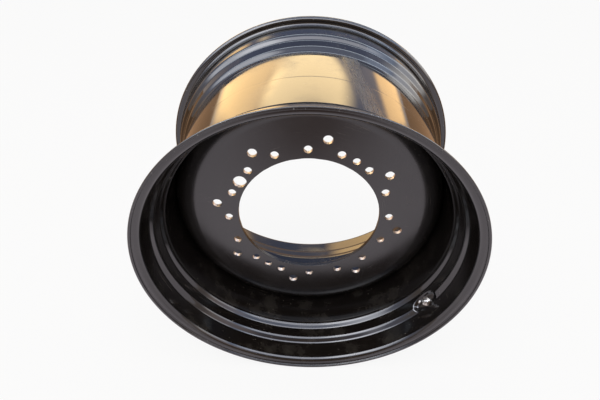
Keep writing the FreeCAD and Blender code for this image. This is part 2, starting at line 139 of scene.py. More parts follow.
class DiscSizes(PropertyGroup):
    """The pressed disc, its holes and its weld"""

    wall: length("Wall", MOUNTS["hub_bore"]["length_mm"], "Thickness of the plate")
    flat_dia: length("Flat", 788.0, "Diameter of the flat hub face")
    skirt_length: length("Skirt", 34.0, "Straight skirt that is welded to the rim")
    skirt_gap: length("Skirt gap", 0.2, "Between the skirt and the rim")
    bore_dia: length("Bore", 2 * MOUNTS["hub_bore"]["r_mm"], "Hub bore")
    hub_circle: length("Hub circle", MOUNTS["hub_bolts"]["pcd_mm"], "Diameter of the hub's bolt circle")
    hub_holes: whole("Hub holes", MOUNTS["hub_bolts"]["count"], "Holes on the hub circle")
    hub_hole_dia: length("Hub hole", 2 * MOUNTS["hub_bolts"]["hole_r_mm"], "Holes for the hub's studs")
    spare_hole_dia: length("Spare hole", 26.0, "The two odd holes on the hub circle")
    spare_angle: turn("Spare hole angle", 56.25, "Where the first odd hole stands")
    dual_circle: length("Outer circle", MOUNTS["dual_bolts"]["pcd_mm"], "Diameter of the outer bolt circle")
    dual_holes: whole("Outer holes", MOUNTS["dual_bolts"]["count"], "Holes on the outer circle")
    dual_hole_dia: length("Outer hole", 2 * MOUNTS["dual_bolts"]["hole_r_mm"], "Holes of the outer circle")
    dual_angle: turn("Outer hole angle", 78.75, "Where the first outer hole stands")
    access_circle: length("Access circle", 552.0, "Diameter of the circle of the large odd hole")
    access_hole_dia: length("Access hole", 46.0, "The large odd hole")
    access_angle: turn("Access hole angle", 146.25, "Where the large odd hole stands")
    edge_break: length("Edge break", 1.0, "Round on the edges of the holes")
    weld_leg: length("Weld leg", 9.0, "Leg of the weld bead")
    weld_ripple: length("Weld ripple", 0.5, "Height of the ripples on the bead")
    weld_pitch: length("Weld pitch", 5.5, "Distance from ripple to ripple")


class ValveSizes(PropertyGroup):
    """The tyre valve, along its own axis from the dimple's floor"""

    around: turn("Angle", -33.5, "Where the valve stands on the rim")
    hole_dia: length("Hole", 15.9, "Hole in the rim")
    shank_dia: length("Shank", 15.3, "Threaded shank")
    base_dia: length("Base", 27.0, "Head on the tyre side")
    base_height: length("Base height", 4.0, "Height of that head")
    seal_dia: length("Seal", 31.0, "Rubber seal on the tyre side")
    seal_height: length("Seal height", 5.0, "Height of the seal")
    washer_dia: length("Washer", 33.0, "Washer in the dimple")
    washer_height: length("Washer height", 2.5, "Thickness of the washer")
    nut_flats: length("Nut", 26.0, "Across the nut's flats")
    nut_height: length("Nut height", 9.0, "Height of the nut")
    thread_spare: length("Spare thread", 3.0, "Thread that shows above the nut")
    thread_pitch: length("Thread pitch", 1.5, "Pitch of the shank's thread")
    neck_dia: length("Neck", 11.0, "Neck above the thread")
    neck_height: length("Neck height", 14.0, "Height of the neck")
    mouth_dia: length("Mouth", 7.7, "Threaded mouth under the cap")
    mouth_height: length("Mouth height", 13.0, "Height of the mouth")
    bore_dia: length("Bore", 4.9, "Bore for the core")
    core_height: length("Core height", 20.0, "Length of the core")
    core_recess: length("Core recess", 1.5, "How deep the core sits in the mouth")
    cap_dia: length("Cap", 12.0, "Dust cap")
    cap_top: length("Cap top", 3.0, "Thickness of the cap's end")
    thread_gap: length("Thread gap", 0.15, "Clearance between mating threads")


class WheelFinish(PropertyGroup):
    """Paint, plating, rubber and wear"""

    paint: colour("Paint", (0.01, 0.0081, 0.0074), "Black paint")
    gloss: share("Paint roughness", 0.06, "Roughness of the clean paint on the rim")
    disc_gloss: share("Disc roughness", 0.2, "Roughness of the clean paint on the disc")
    dust: colour("Dust", (0.36, 0.32, 0.27), "Dust and dried splashes")
    dust_share: share("Dust share", 0.2, "How much dust lies on the wheel")
    primer: colour("Primer", (0.45, 0.44, 0.42), "Primer and steel under chipped paint")
    wear_share: share("Wear share", 0.5, "How much the paint is scuffed and chipped")
    plating: colour("Plating", (0.4, 0.39, 0.37), "Bright plating of the valve")
    steel: colour("Steel", (0.72, 0.66, 0.61), "Bare steel in the drilled holes")
    rubber: colour("Rubber", (0.02, 0.02, 0.02), "Rubber of the seal")


class StageLook(PropertyGroup):
    """Floor, light and camera"""

    floor: colour("Floor", (0.8, 0.78, 0.76), "Plain pale floor")
    # The next colours and the level paint the floor's glow that gloss mirrors; the colour in front of the camera is
    # painted shade
    floor_near: colour("Floor near", (0.87, 0.8, 0.86), "What gloss mirrors of the floor round the wheel")
    floor_painted_shade: colour("Floor shade", (0.24, 0.16, 0.14), "What gloss mirrors of the floor in front of the camera")
    floor_back: colour("Floor back", (0.3, 0.17, 0.09), "What gloss mirrors of the floor behind the wheel")
    floor_mirror: level("Floor mirror", 1.9, "How bright the mirrored floor is")
    floor_white: share("Floor white", 0.9, "How much the floor fades to white for the camera")
    overcast: level("Overcast light", 0.6, "Even light from all round")
    horizon: colour("Horizon", (0.36, 0.3, 0.27), "What gloss mirrors at the horizon")
    dome_front: colour("Dome front", (0.17, 0.12, 0.09), "What gloss mirrors low in front")
    dome_side: colour("Dome side", (0.62, 0.72, 1.0), "What gloss mirrors overhead and high at the sides")
    dome_back: colour("Dome back", (0.17, 0.21, 0.34), "What gloss mirrors high behind")
    dome_level: level("Dome level", 2.6, "How bright the mirrored dome is")
    lens: FloatProperty(name="Lens", description="Focal length", default=29.25, min=1.0, unit="CAMERA")


# Mesh building

BEND_STEP = math.radians(7.5)  # longest step round a bend of the rim's section
SHORTEST_RUN, ROW_GAP = 0.5 * MM, 0.3 * MM  # shortest run that takes more rows, and how far they keep from its ends


def unit(vector):
    return vector / np.linalg.norm(vector)


def rotated(vector, radians):
    c, s = math.cos(radians), math.sin(radians)
    return np.array((c * vector[0] - s * vector[1], s * vector[0] + c * vector[1]))


def quarter_turn(steps):
    return [math.pi / 2 * step / steps for step in range(steps + 1)]


def left_of(vector):
    return np.array((-vector[1], vector[0]))


def rolled_line(corners, rounds):
    """Points along straight runs joined by tangent arcs, each with the normal on its left."""
    corners = [np.array(corner, float) for corner in corners]
    points, normals = [corners[0]], [left_of(unit(corners[1] - corners[0]))]
    for before, corner, after, radius in zip(corners, corners[1:], corners[2:], rounds):
        into, out = unit(corner - before), unit(after - corner)
        bend = math.atan2(into[0] * out[1] - into[1] * out[0], into @ out)
        first = corner - into * radius * abs(math.tan(bend / 2))
        spoke = left_of(into) * math.copysign(radius, bend)
        steps = max(3, math.ceil(abs(bend) / BEND_STEP))
        for step in range(steps + 1):
            swept = bend * step / steps
            points.append(first + spoke - rotated(spoke, swept))
            normals.append(left_of(rotated(into, swept)))
    points.append(corners[-1])
    normals.append(left_of(unit(corners[-1] - corners[-2])))
    return np.array(points), np.array(normals)


def with_rows(points, normals, stations):
    """The same line with more points where it passes the given stations along the axle."""
    new_points, new_normals = [], []
    for p, q, m, n in zip(points, points[1:], normals, normals[1:]):
        run = q[0] - p[0]
        shares = [0.0]
        if run > SHORTEST_RUN:
            shares += sorted((s - p[0]) / run for s in stations if p[0] + ROW_GAP < s < q[0] - ROW_GAP)
        for t in shares:
            new_points.append(p + (q - p) * t)
            new_normals.append(unit(m + (n - m) * t))
    new_points.append(points[-1])
    new_normals.append(normals[-1])
    return np.array(new_points), np.array(new_normals)


def spun(profile, angles, shift=0.0):
    """A grid of points, row by row along a profile of (along, radius) turned about the axle."""
    along, radius = np.asarray(profile).T
    x = radius[:, None] * np.cos(angles)
    z = radius[:, None] * np.sin(angles)
    y = np.repeat((along + shift)[:, None], len(angles), axis=1)
    return np.stack([x, y, z], axis=-1)


def grid_quads(rows, segments):
    """Corner numbers of the faces of a grid that closes both ways."""
    i, j = np.meshgrid(np.arange(rows), np.arange(segments), indexing="ij")
    below, after = (i + 1) % rows, (j + 1) % segments
    return np.stack([i * segments + j, below * segments + j, below * segments + after, i * segments + after], axis=-1)


def grid_normals(grid):
    """Smooth normals of a grid that closes both ways, pointing as its faces do."""
    after = np.roll(grid, -1, axis=1)
    below = np.roll(grid, -1, axis=0)
    face = np.cross(np.roll(below, -1, axis=1) - grid, after - below)
    total = face + np.roll(face, 1, axis=1)
    total = total + np.roll(total, 1, axis=0)
    return total / np.maximum(np.linalg.norm(total, axis=-1, keepdims=True), 1e-12)


def signed_volume(points, faces):
    a, b, c = (points[[face[k] for face in faces]] for k in range(3))
    d = points[[face[-1] for face in faces]]
    return np.einsum("ij,ij->i", a, np.cross(b, c)).sum() + np.einsum("ij,ij->i", a, np.cross(c, d)).sum()


def link_new(name, data):
    """A new object in the scene."""
    made = bpy.data.objects.new(name, data)
    bpy.context.scene.collection.objects.link(made)
    return made


def add_piece(name, points, faces, normals=None, sharp=None):
    """A closed mesh object with its faces turned outwards, smooth, with given or angle-split normals."""
    points = np.asarray(points, float)
    faces = [list(map(int, face)) for face in faces]
    if signed_volume(points, faces) < 0:
        faces = [face[::-1] for face in faces]
    mesh = bpy.data.meshes.new(name)
    mesh.from_pydata(points.tolist(), [], faces)
    mesh.validate()
    mesh.shade_smooth()
    if sharp is not None:
        mesh.set_sharp_from_angle(angle=sharp)
    if normals is not None:
        mesh.normals_split_custom_set_from_vertices(np.asarray(normals).tolist())
    return link_new(name, mesh)


def dress(piece, material, slot, *nodes):
    """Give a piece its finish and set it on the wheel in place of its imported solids."""
    piece.data.materials.append(material)
    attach(piece, BODY)
    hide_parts(*nodes)


# Rim

CAP_STEPS = 4  # round each cut edge of a lip
VALVE_SPAN, VALVE_STEPS = 7.6, 74  # degrees to each side of the valve, and the points there
RING_STEPS = 256  # points round the rest of the rim
DIMPLE_ROWS = np.arange(-42, 44, 2.6) * MM  # rows along the axle, from the dimple's middle
SHRINK_ROWS = np.array((-6, -3, -1.8, -0.8, 0, 0.8, 1.8, 3, 6)) * MM  # rows from the middle of the shrink line
SHRINK_WIDTH = 1.4 * MM
LEAST_MOVE, LEAST_GROOVE = 1e-7, 1e-6  # moves that count as pressed, and as part of the groove
DIMPLE_REACH = 3  # how far from the dimple points are still looked at, in its half sizes


def flange_radius(rim):
    return rim.seat_dia / 2 + rim.flange_height


def well_radius(rim):
    return rim.seat_dia / 2 - rim.seat_drop - rim.riser_drop - rim.ledge_drop - rim.slope_drop


def riser_end(rim):
    return rim.width / 2 - rim.seat_run - rim.riser_run


def rim_corners(rim):
    """Corners of the tyre side, from the front lip to the back lip, and the bend at each."""
    seat, half = rim.seat_dia / 2, rim.width / 2
    drops = (rim.seat_drop, rim.riser_drop, rim.ledge_drop, rim.slope_drop)
    runs = (rim.seat_run, rim.riser_run, rim.ledge_run, rim.slope_run)
    back = [(half + rim.flange_lip - rim.lip_round, flange_radius(rim)), (half, flange_radius(rim)), (half, seat)]
    for run, drop in zip(runs, drops):
        back.append((back[-1][0] - run, back[-1][1] - drop))
    rounds = [rim.curl_round, rim.heel_round, rim.seat_bend, rim.riser_bend, rim.ledge_bend, rim.well_bend]
    front = [(-along, radius) for along, radius in back]
    return front + back[::-1], rounds + rounds[::-1]


def lip_cap(tyre_end, axis_end, side, rounding):
    """The cut edge of a lip, from the tyre side round to the axle side."""
    points, normals = [], []
    for centre, start in ((tyre_end[1] - rounding, math.pi / 2), (axis_end[1] + rounding, 0.0)):
        for angle in quarter_turn(CAP_STEPS):
            normal = np.array((side * math.cos(start - angle), math.sin(start - angle)))
            points.append(np.array((tyre_end[0], centre)) + rounding * normal)
            normals.append(normal)
    return points[1:-1], normals[1:-1]


def valve_frame(rim, valve):
    """The dimple's floor: its middle, and directions along the rim, across it and out of the floor."""
    c, s = math.cos(valve.around), math.sin(valve.around)
    tilt = rim.dimple_tilt
    sink = rim.dimple_depth - rim.wall
    corner = rim.seat_dia / 2 - rim.seat_drop - rim.riser_drop
    radius = corner + sink * math.cos(tilt)
    middle = np.array((radius * c, rim.inset + sink * math.sin(tilt) - riser_end(rim), radius * s))
    outward = np.array((-c * math.cos(tilt), -math.sin(tilt), -s * math.cos(tilt)))
    along = np.array((-s, 0.0, c))
    return middle, np.stack([along, np.cross(outward, along), outward])


def smooth_min(a, b, width):
    """The lower of two values, rounded where they meet."""
    mix = np.maximum(width - np.abs(a - b), 0) / width
    return np.minimum(a, b) - mix * mix * width / 4


def press_dimple(grid, rim, frame_of_valve, floor, grow):
    """Press the oval dimple into one side of the band; returns which points moved."""
    middle, axes = frame_of_valve
    local = (grid - middle) @ axes.T
    u, v, w = np.moveaxis(local, -1, 0)
    a, b = rim.dimple_half_length + grow, rim.dimple_half_width + grow
    oval = np.hypot(u / a, v / b)
    outside = (oval - 1) * oval / np.maximum(np.hypot(u / a**2, v / b**2), 1e-6)
    ramp = -smooth_min(-outside, np.zeros_like(outside), rim.dimple_round)
    pressed = smooth_min(w, floor + ramp / math.tan(rim.dimple_draft), rim.dimple_round)
    near = (np.abs(u) < DIMPLE_REACH * a) & (np.abs(v) < DIMPLE_REACH * b) & (np.abs(w) < 2 * a)
    moved = near & (pressed < w - LEAST_MOVE)
    grid += np.where(moved, pressed - w, 0)[..., None] * axes[2]
    return moved


def rim_angles(valve):
    """Angles round the rim, close together at the valve."""
    fine = valve.around + np.radians(np.linspace(-VALVE_SPAN, VALVE_SPAN, VALVE_STEPS))
    coarse = np.linspace(fine[-1], fine[0] + FULL_TURN, RING_STEPS)[1:-1]
    return np.concatenate([fine, coarse])


def open_valve_hole(grid, faces_kept, pairs, frame_of_valve, radius):
    """Drop the faces inside the valve's hole and draw their edge onto its circle; returns the hole's wall."""
    middle, axes = frame_of_valve
    segments = grid.shape[1]
    axle_rows = [axle for _, axle in pairs]
    local = (grid[axle_rows] - middle) @ axes.T
    inside = (np.hypot(local[..., 0], local[..., 1]) < radius) & (np.abs(local[..., 2]) < 2 * radius)
    gone = set()
    for k in range(len(pairs) - 1):
        for j in np.flatnonzero(inside[k] | inside[k + 1]):
            gone |= {(k, int(j)), (k, int(j - 1) % segments)}
    edge, wall = set(), []
    for k, j in gone:
        after = (j + 1) % segments
        faces_kept[pairs[k][0], j] = False
        faces_kept[pairs[k + 1][1], j] = False
        sides = {
            (k - 1, j): ((k, j), (k, after)),
            (k + 1, j): ((k + 1, after), (k + 1, j)),
            (k, (j - 1) % segments): ((k + 1, j), (k, j)),
            (k, after): ((k, after), (k + 1, after)),
        }
        for neighbour, (p, q) in sides.items():
            if neighbour not in gone:
                edge |= {p, q}
                corners = ((p, 0), (q, 0), (q, 1), (p, 1))
                wall.append([pairs[row][skin] * segments + segment for (row, segment), skin in corners])
    for k, j in edge:
        for row in pairs[k]:
            here = (grid[row, j] - middle) @ axes.T
            here[:2] *= radius / np.hypot(here[0], here[1])
            grid[row, j] = middle + here @ axes
    return wall


def build_rim(rim, valve, disc):
    corners, rounds = rim_corners(rim)
    dimple_along = -riser_end(rim)
    shrink_along = disc_skirt_start(rim, disc) - rim.inset
    stations = [*(dimple_along + DIMPLE_ROWS), *(shrink_along + SHRINK_ROWS)]
    tyre, tyre_normals = with_rows(*rolled_line(corners, rounds), stations)
    axle = tyre - tyre_normals * rim.wall
    back_cap, back_normals = lip_cap(tyre[-1], axle[-1], 1, rim.lip_round)
    front_cap, front_normals = lip_cap(tyre[0], axle[0], -1, rim.lip_round)
    profile = np.concatenate([tyre, back_cap, axle[::-1], front_cap[::-1]])
    flat_normals = np.concatenate([tyre_normals, back_normals, -tyre_normals[::-1], front_normals[::-1]])
    angles = rim_angles(valve)
    grid = spun(profile, angles, rim.inset)
    normals = spun(flat_normals, angles)
    count, first_axle = len(tyre), len(tyre) + len(back_cap)
    # The weld of the disc draws a fine line round the outside of the well
    groove = rim.shrink_line * np.exp(-(((tyre[:, 0] - shrink_along) / SHRINK_WIDTH) ** 2))
    grid[:count] -= groove[:, None, None] * normals[:count]
    place = valve_frame(rim, valve)
    draft = rim.dimple_draft
    grow = rim.wall * (1 - math.sin(draft)) / math.cos(draft)
    moved = np.zeros(grid.shape[:2], bool)
    moved[:count] = press_dimple(grid[:count], rim, place, -rim.wall, grow)
    inside = slice(first_axle, first_axle + count)
    moved[inside] = press_dimple(grid[inside], rim, place, 0.0, 0.0)
    moved[:count] |= (groove > LEAST_GROOVE)[:, None]
    for axis in (0, 1):
        moved |= np.roll(moved, 1, axis) | np.roll(moved, -1, axis)
    measured = grid_normals(grid)
    if (measured[0] * normals[0]).sum() < 0:
        measured = -measured
    normals = np.where(moved[..., None], measured, normals)
    kept = np.ones(grid.shape[:2], bool)
    pairs = [(k, first_axle + count - 1 - k) for k in range(count)]
    wall = open_valve_hole(grid, kept, pairs, place, valve.hole_dia / 2)
    faces = grid_quads(*grid.shape[:2])[kept].tolist() + wall
    return add_piece("rim_band", grid.reshape(-1, 3), faces, normals.reshape(-1, 3))


# Disc and weld

DISC_STEPS, SHOULDER_STEPS = 256, 14  # round the disc, and round its shoulder
BORE_STEPS, HOLE_STEPS, EDGE_STEPS = 288, 40, 3  # round the bore, round each hole, and round their edges
BORE_BREAK = 1.4  # the bore's edges are rounder than those of the holes
RIPPLE_STEPS, BEAD_ROWS = 4, 9  # along each ripple of the weld, and across its bead
RIPPLE_LAG = 2.2  # how far a ripple falls back at the bead's edges
BEAD_CREASE = math.radians(60)
WITHIN_EDGES, SAME_POINT = 1, 1e-7  # what a filled flat keeps, and how close its points may come


def skirt_radius(rim, disc):
    return well_radius(rim) - rim.wall - disc.skirt_gap


def disc_skirt_start(rim, disc):
    """Where the shoulder turns into the straight skirt, behind the hub face."""
    return skirt_radius(rim, disc) - disc.flat_dia / 2 - disc.wall


class Shell:
    """Points with normals, and faces, gathered ring by ring."""

    def __init__(self):
        self.points, self.normals, self.faces = [], [], []

    def ring(self, angles, centre, radius, along, normal):
        """A ring in a plane across the axle; normal is its (along, outward) direction."""
        start = len(self.points)
        for angle in angles:
            c, s = math.cos(angle), math.sin(angle)
            self.points.append((centre[0] + radius * c, along, centre[1] + radius * s))
            self.normals.append((normal[1] * c, normal[0], normal[1] * s))
        return list(range(start, len(self.points)))

    def strip(self, first, second):
        """Faces between two rings."""
        for k in range(len(first)):
            after = (k + 1) % len(first)
            self.faces.append([first[k], second[k], second[after], first[after]])


def edge_rows(radius, wall, rounding):
    """Front to back through a hole with rounded edges: (radius, along, normal)."""
    rows = []
    for along, side in ((-wall + rounding, -1), (-rounding, 1)):
        for angle in quarter_turn(EDGE_STEPS)[::side]:
            normal = (side * math.sin(angle), -math.cos(angle))
            rows.append((radius + rounding * (1 + normal[1]), along + rounding * normal[0], normal))
    return rows


def hole_list(disc):
    """Centre and radius of each hole beside the bore."""
    holes = []

    def circle(diameter, dia, first, count):
        for k in range(count):
            angle = first + FULL_TURN * k / count
            holes.append(((diameter / 2 * math.cos(angle), diameter / 2 * math.sin(angle)), dia / 2))

    circle(disc.hub_circle, disc.hub_hole_dia, math.pi / 2, disc.hub_holes)
    circle(disc.hub_circle, disc.spare_hole_dia, disc.spare_angle, 2)
    circle(disc.dual_circle, disc.dual_hole_dia, disc.dual_angle, disc.dual_holes)
    circle(disc.access_circle, disc.access_hole_dia, disc.access_angle, 1)
    return holes


def fill_flat(shell, outer, holes, backwards):
    """Triangles of a flat ring of plate between its outer edge and its holes."""
    loops = [outer] + [loop for loop, _, _ in holes]
    numbers = [number for loop in loops for number in loop]
    flat = [(shell.points[number][0], shell.points[number][2]) for number in numbers]
    edges, start = [], 0
    for loop in loops:
        edges += [(start + k, start + (k + 1) % len(loop)) for k in range(len(loop))]
        start += len(loop)
    found, _, faces, origin, _, _ = delaunay_2d_cdt(flat, edges, [], WITHIN_EDGES, SAME_POINT)
    for face in faces:
        middle = sum((found[k] for k in face), found[0] * 0) / len(face)
        if any(math.hypot(middle[0] - cx, middle[1] - cz) < radius for _, (cx, cz), radius in holes):
            continue
        corners = [numbers[origin[k][0]] for k in face]
        shell.faces.append(corners[::-1] if backwards else corners)


def full_turn(steps):
    return [FULL_TURN * k / steps for k in range(steps)]


def disc_rows(rim, disc):
    """From the flat's front over the shoulder and the skirt to the flat's back: (radius, along, normal)."""
    flat, wall, rounding = disc.flat_dia / 2, disc.wall, disc.edge_break
    bend = skirt_radius(rim, disc) - flat
    centre_along, skirt_end = bend - wall, bend - wall + disc.skirt_length
    rows = []
    quarter = quarter_turn(SHOULDER_STEPS)
    for angle in quarter:
        normal = (-math.cos(angle), math.sin(angle))
        rows.append((flat + bend * normal[1], centre_along + bend * normal[0], normal))
    for radius, spin in ((flat + bend - rounding, 1), (flat + bend - wall + rounding, -1)):
        for step in range(EDGE_STEPS + 1):
            angle = math.pi / 2 * (step / EDGE_STEPS if spin > 0 else 1 - step / EDGE_STEPS)
            normal = (math.sin(angle), spin * math.cos(angle))
            rows.append((radius + rounding * normal[1], skirt_end - rounding + rounding * normal[0], normal))
    for angle in reversed(quarter):
        normal = (math.cos(angle), -math.sin(angle))
        rows.append((flat - (bend - wall) * normal[1], centre_along - (bend - wall) * normal[0], normal))
    return rows


def build_disc(rim, disc):
    shell, axle = Shell(), (0.0, 0.0)
    rings = [shell.ring(full_turn(DISC_STEPS), axle, *row) for row in disc_rows(rim, disc)]
    for first, second in zip(rings, rings[1:]):
        shell.strip(first, second)
    front, back = [], []
    openings = [(axle, disc.bore_dia / 2, BORE_STEPS, BORE_BREAK * disc.edge_break)]
    openings += [(centre, radius, HOLE_STEPS, disc.edge_break) for centre, radius in hole_list(disc)]
    for centre, radius, steps, edge in openings:
        through = [shell.ring(full_turn(steps), centre, *row) for row in edge_rows(radius, disc.wall, edge)]
        for first, second in zip(through, through[1:]):
            shell.strip(second, first)
        front.append((through[0], centre, radius))
        back.append((through[-1], centre, radius))
    fill_flat(shell, rings[0], front, False)
    fill_flat(shell, rings[-1], back, True)
    return add_piece("wheel_disc_plate", shell.points, shell.faces, shell.normals)


def build_weld(rim, disc):
    """A quarter-round bead with scale-like ripples that lag behind at its edges."""
    edge = disc_skirt_start(rim, disc) + disc.skirt_length
    root = well_radius(rim) - rim.wall
    ripples = round(FULL_TURN * root / disc.weld_pitch)
    angles = np.arange(ripples * RIPPLE_STEPS) * FULL_TURN / (ripples * RIPPLE_STEPS)
    sweep = np.linspace(0, math.pi / 2, BEAD_ROWS)
    lag = RIPPLE_LAG * np.abs(np.sin(2 * sweep) - 1)[:, None]
    # Two slow waves make the ripples uneven round the wheel
    slow = 0.5 + 0.3 * np.sin(7 * angles) + 0.2 * np.sin(23 * angles + 1.3)
    phase = ripples * angles[None, :] - lag
    scale = np.sin(phase) + 0.35 * np.sin(2 * phase)
    leg = disc.weld_leg - disc.weld_ripple * (1 - scale) * np.sin(2 * sweep)[:, None] * (0.6 + 0.4 * slow)
    along = edge + leg * np.cos(sweep)[:, None]
    radius = root - leg * np.sin(sweep)[:, None]
    face = np.stack([radius * np.cos(angles), along, radius * np.sin(angles)], axis=-1)
    grid = np.concatenate([face, spun([(edge, root)], angles)])
    faces = grid_quads(*grid.shape[:2]).reshape(-1, 4)
    return add_piece("disc_weld_bead", grid.reshape(-1, 3), faces, sharp=BEAD_CREASE)


# Valve

NEAR_AXIS = 0.05 * MM  # turned pieces stop this close to their axis, which keeps their grid closed
TURNED_CREASE = math.radians(35)
WASHER_BEVEL = 0.4 * MM
NUT_SLOPE = math.tan(math.radians(30))  # chamfer on the nut's corners


def turned_piece(name, profile, place, segments=64, shape=None):
    """A piece turned about the valve's axis from (height, radius) rows; shape may change the radius by angle."""
    angles = np.arange(segments) * FULL_TURN / segments
    height, radius = np.array(profile, float).T[..., None] * np.ones(segments)
    if shape is not None:
        radius = shape(height, radius, angles[None, :])
    middle, axes = place
    local = np.stack([radius * np.cos(angles), radius * np.sin(angles), height], axis=-1)
    points = (middle + local @ axes).reshape(-1, 3)
    faces = grid_quads(len(height), segments).reshape(-1, 4)
    return add_piece(name, points, faces, sharp=TURNED_CREASE)


def bevelled(rows, bevel):
    """Cut the corners of a closed section of (height, radius) points."""
    made = []
    for before, corner, after in zip(rows[-1:] + rows[:-1], rows, rows[1:] + rows[:1]):
        corner = np.array(corner)
        for other in (before, after):
            way = np.array(other) - corner
            made.append(corner + way * min(0.4, bevel / max(np.linalg.norm(way), 1e-9)))
    return made


def valve_heights(rim, valve):
    """Heights along the valve's axis, from the dimple's floor."""
    seal_top = -rim.wall
    base_top = seal_top - valve.seal_height
    nut_top = valve.washer_height + valve.nut_height
    shank_top = nut_top + valve.thread_spare
    neck_top = shank_top + valve.neck_height
    return dict(
        seal_top=seal_top,
        base_top=base_top,
        base_bottom=base_top - valve.base_height,
        washer_top=valve.washer_height,
        nut_top=nut_top,
        shank_top=shank_top,
        neck_top=neck_top,
        mouth_top=neck_top + valve.mouth_height,
    )


def build_stem(valve, at, place):
    pitch, depth = valve.thread_pitch, 0.45 * MM
    shank, neck, mouth = valve.shank_dia / 2, valve.neck_dia / 2, valve.mouth_dia / 2
    base, bore = valve.base_dia / 2, valve.bore_dia / 2
    floor = at["mouth_top"] - valve.core_recess - valve.core_height
    rows = [(at["base_bottom"], base - 1.5 * MM), (at["base_bottom"] + 1.2 * MM, base), (at["base_top"], base)]
    rows += [(at["base_top"], shank - depth)]
    rows += [(height, shank) for height in np.arange(at["base_top"] + 0.2 * MM, at["shank_top"] - 0.8 * MM, pitch / 6)]
    rows += [(at["shank_top"], shank - 0.9 * MM), (at["shank_top"] + 0.4 * MM, neck)]
    rows += [(at["neck_top"] - 1.0 * MM, neck), (at["neck_top"], neck - 1.0 * MM), (at["neck_top"], mouth)]
    rows += [(at["mouth_top"] - 0.5 * MM, mouth), (at["mouth_top"], mouth - 0.5 * MM), (at["mouth_top"], bore)]
    rows += [(floor, bore), (floor, NEAR_AXIS), (at["base_bottom"], NEAR_AXIS)]

    def thread(height, radius, angle):
        along = height / pitch - angle / FULL_TURN
        tooth = 2 * np.abs(along - np.floor(along) - 0.5)
        return np.where(np.isclose(radius, shank), radius - depth * tooth, radius)

    return turned_piece("valve_stem_body", rows, place, segments=72, shape=thread)


def build_seal(valve, at, place):
    inner, outer = valve.shank_dia / 2 + valve.thread_gap, valve.seal_dia / 2
    low, high = at["base_top"], at["seal_top"]
    drawn_in = 0.8 * MM
    bulge = [(low + (high - low) * t, outer - drawn_in * (2 * t - 1) ** 2) for t in np.linspace(0, 1, 7)]
    return turned_piece("valve_seal_ring", [(low, inner)] + bulge + [(high, inner)], place)


def build_washer(valve, at, place):
    inner, outer = valve.hole_dia / 2, valve.washer_dia / 2
    rows = [(0.0, inner), (0.0, outer), (at["washer_top"], outer), (at["washer_top"], inner)]
    return turned_piece("valve_washer_ring", bevelled(rows, WASHER_BEVEL), place)


def build_nut(valve, at, place):
    inner, flat = valve.shank_dia / 2 + valve.thread_gap, valve.nut_flats / 2
    corner = flat / math.cos(math.pi / 6)
    low, high = at["washer_top"], at["nut_top"]
    chamfer = (corner - flat) * NUT_SLOPE
    levels = [low, low + chamfer * 0.5, low + chamfer, (low + high) / 2, high - chamfer, high - chamfer * 0.5, high]
    rows = [(low, inner + 0.5 * MM)] + [(height, corner) for height in levels] + [(high, inner + 0.5 * MM)]
    rows += [(high - 0.6 * MM, inner), (low + 0.6 * MM, inner)]

    def hexagon(height, radius, angle):
        side = flat / np.cos(np.mod(angle + math.pi / 6, math.pi / 3) - math.pi / 6)
        reach = np.minimum(height - low, high - height) / NUT_SLOPE + flat - 0.3 * MM
        return np.where(np.isclose(radius, corner), np.minimum(side, reach), radius)

    return turned_piece("valve_nut_hexagon", rows, place, segments=96, shape=hexagon)


def build_cap(valve, at, place):
    outer, inner = valve.cap_dia / 2, valve.mouth_dia / 2 + valve.thread_gap
    low, roof = at["neck_top"], at["mouth_top"] + valve.thread_gap
    top, rounding = at["mouth_top"] + valve.cap_top, 2.0 * MM
    grip_low, grip_high = low + 1.5 * MM, low + 11.0 * MM
    ridges, ridge_height = 24, 0.35 * MM
    rows = [(low, inner), (low, outer - 0.4 * MM), (low + 0.6 * MM, outer)]
    rows += [(low + t * MM, outer) for t in (1.0, 2.0, 6.0, 10.0, 11.5)]
    for angle in np.linspace(0, math.pi / 2, 6):
        rows.append((top - rounding * (1 - math.sin(angle)), outer - rounding * (1 - math.cos(angle))))
    rows += [(top, NEAR_AXIS), (roof, NEAR_AXIS), (roof, inner)]

    def knurl(height, radius, angle):
        grip = (height > grip_low) & (height < grip_high) & np.isclose(radius, outer)
        return np.where(grip, radius - ridge_height * (0.5 - 0.5 * np.cos(ridges * angle)), radius)

    return turned_piece("valve_cap_knurled", rows, place, segments=144, shape=knurl)


# Materials

BLACK, WHITE = (0.0, 0.0, 0.0, 1.0), (1.0, 1.0, 1.0, 1.0)
REFRACTION = 1.5  # refractive index of all finishes
PAINT_RELIEF = 0.01 * MM  # one unit of the paint's height
SEAM_ANGLE = math.radians(69.2)  # where the band's ends are welded together
SEAM_LEAN = math.radians(16.2)  # how far that weld leans, for each metre along the axle


class Value:
    """A node's output that takes arithmetic: each operation adds a node behind it."""

    def __init__(self, socket):
        self.socket, self.tree = socket, socket.id_data

    def math(self, operation, other=0.0, clamp=False):
        return result(self.tree, "Math", {0: self, 1: other}, operation=operation, use_clamp=clamp)

    def __add__(self, other):
        return self.math("ADD", other)

    def __sub__(self, other):
        return self.math("SUBTRACT", other)

    def __mul__(self, other):
        return self.math("MULTIPLY", other)

    def __truediv__(self, other):
        return self.math("DIVIDE", other)

    def __abs__(self):
        return self.math("ABSOLUTE")

    def ramp(self, low, high, start=0.0, end=1.0):
        """Map the value smoothly from one range to another."""
        sockets = {"Value": self, "From Min": low, "From Max": high, "To Min": start, "To Max": end}
        return result(self.tree, "MapRange", sockets, "Result", interpolation_type="SMOOTHSTEP")

    def parts(self):
        """The three parts of a vector."""
        return [Value(socket) for socket in node(self.tree, "SeparateXYZ", {0: self}).outputs]


